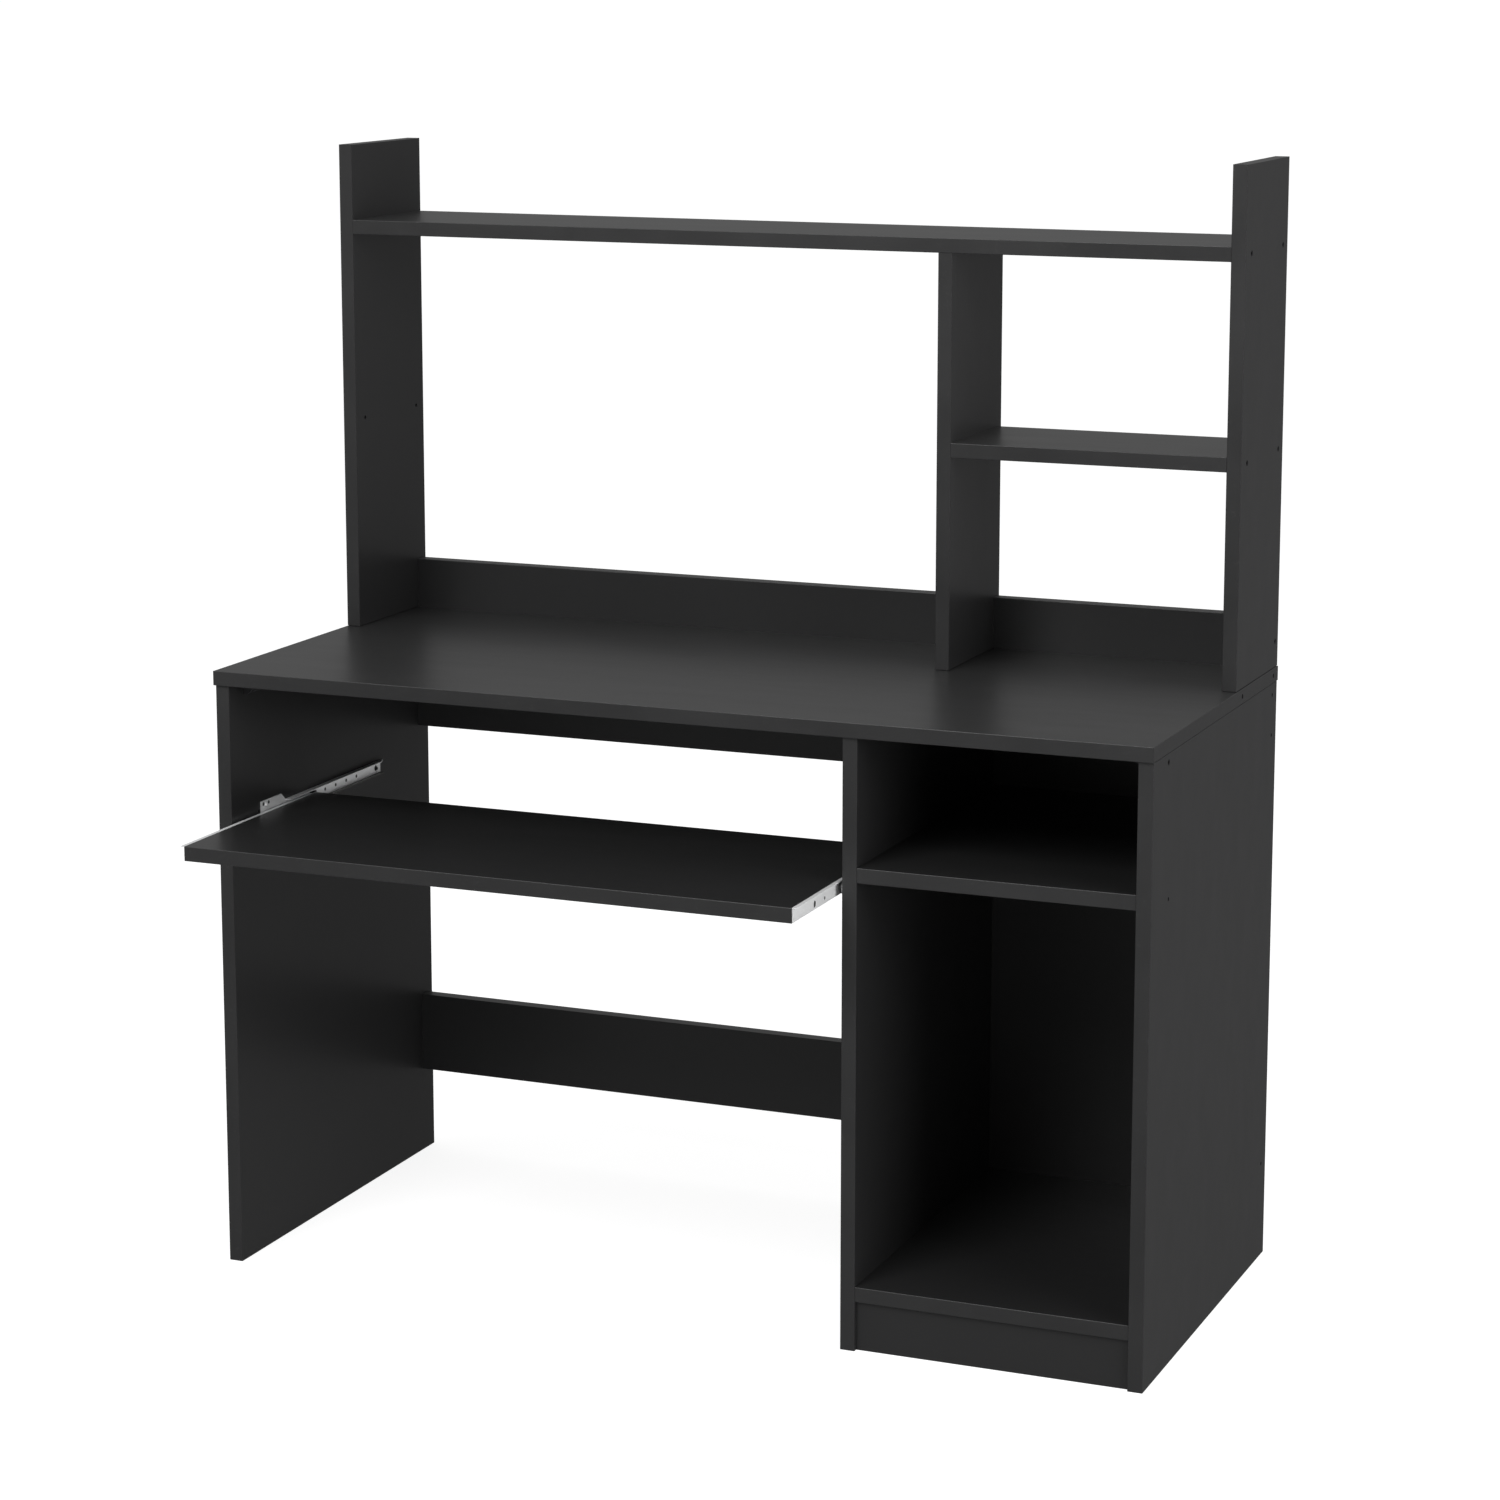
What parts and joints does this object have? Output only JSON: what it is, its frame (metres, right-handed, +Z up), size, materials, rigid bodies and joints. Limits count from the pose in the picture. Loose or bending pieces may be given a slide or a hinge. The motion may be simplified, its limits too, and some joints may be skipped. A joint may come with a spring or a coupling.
{
  "type": "computer desk with keyboard tray",
  "caption": "Black computer desk: kneehole with a keyboard tray on roller slides, a tower bay with a shelf beside it, and an open shelf hutch along the rear of the desktop.",
  "frame": {"origin": "on the floor, under the centre of the whole desk's box in the pictured pose, tray out by 126 mm", "axes": "+X to the tower bay's side (a sitter's right), +Y to the rear, +Z up; the front faces -Y"},
  "size_m": [1.188, 0.655, 1.37],
  "materials": {
    "board": "black melamine-faced particleboard, fine matt grain",
    "edge_band": "black plastic edge band, satin",
    "beech": "bare fluted beech",
    "zinc": "bright zinc plating",
    "dark_steel": "black oxide",
    "black_nylon": "moulded black nylon"
  },
  "bodies": {
    "desk": {"left_side_panel": "board", "centre_panel": "board", "right_side_panel": "board", "desktop": "board", "tower_shelf": "board", "bottom_shelf": "board", "plinth": "board", "tower_back": "board", "kneehole_apron": "board", "lower_stretcher": "board", "left_hutch_panel": "board", "right_hutch_panel": "board", "hutch_divider": "board", "top_shelf": "board", "small_shelf": "board", "left_back_rail": "board", "right_back_rail": "board", "carcass_edge_bands": "edge_band", "desktop_edge_bands": "edge_band", "hutch_edge_bands": "edge_band", "dowels": "beech", "cam_discs": "zinc", "cam_bolts": "zinc", "hutch_pins": "zinc", "left_cabinet_rail": "zinc", "right_cabinet_rail": "zinc", "lug_screws": "zinc", "front_roller_axles": "zinc", "corner_block_screws": "dark_steel", "carcass_screws": "dark_steel", "hutch_screws": "dark_steel", "hutch_pin_grub_screws": "dark_steel", "cabinet_rail_screws": "dark_steel", "corner_blocks": "black_nylon"},
    "tray": {"keyboard_tray": "board", "tray_edge_bands": "edge_band", "left_tray_rail": "zinc", "right_tray_rail": "zinc", "tray_rail_screws": "zinc", "rear_roller_axles": "zinc"},
    "left_front_roller": {"left_front_roller": "black_nylon"},
    "right_front_roller": {"right_front_roller": "black_nylon"},
    "left_rear_roller": {"left_rear_roller": "black_nylon"},
    "right_rear_roller": {"right_rear_roller": "black_nylon"}
  },
  "joints": [
    {"name": "tray_slide", "type": "slide", "parent": "desk", "child": "tray", "axis": [0, -1, 0], "range_m": [-0.126, 0.06]},
    {"name": "left_front_roller_spin", "type": "hinge", "parent": "desk", "child": "left_front_roller", "pos_m": [-0.5707, -0.1845, 0.55275], "axis": [1, 0, 0], "continuous": true},
    {"name": "right_front_roller_spin", "type": "hinge", "parent": "desk", "child": "right_front_roller", "pos_m": [0.2207, -0.1845, 0.55275], "axis": [1, 0, 0], "continuous": true},
    {"name": "left_rear_roller_spin", "type": "hinge", "parent": "tray", "child": "left_rear_roller", "pos_m": [-0.5707, 0, 0.55575], "axis": [1, 0, 0], "continuous": true},
    {"name": "right_rear_roller_spin", "type": "hinge", "parent": "tray", "child": "right_rear_roller", "pos_m": [0.2207, 0, 0.55575], "axis": [1, 0, 0], "continuous": true}
  ],
  "couplings": [
    {"joint": "left_front_roller_spin", "follows": "tray_slide", "rad_per_m": 142.86},
    {"joint": "right_front_roller_spin", "follows": "tray_slide", "rad_per_m": 142.86},
    {"joint": "left_rear_roller_spin", "follows": "tray_slide", "rad_per_m": 142.86},
    {"joint": "right_rear_roller_spin", "follows": "tray_slide", "rad_per_m": 142.86}
  ]
}
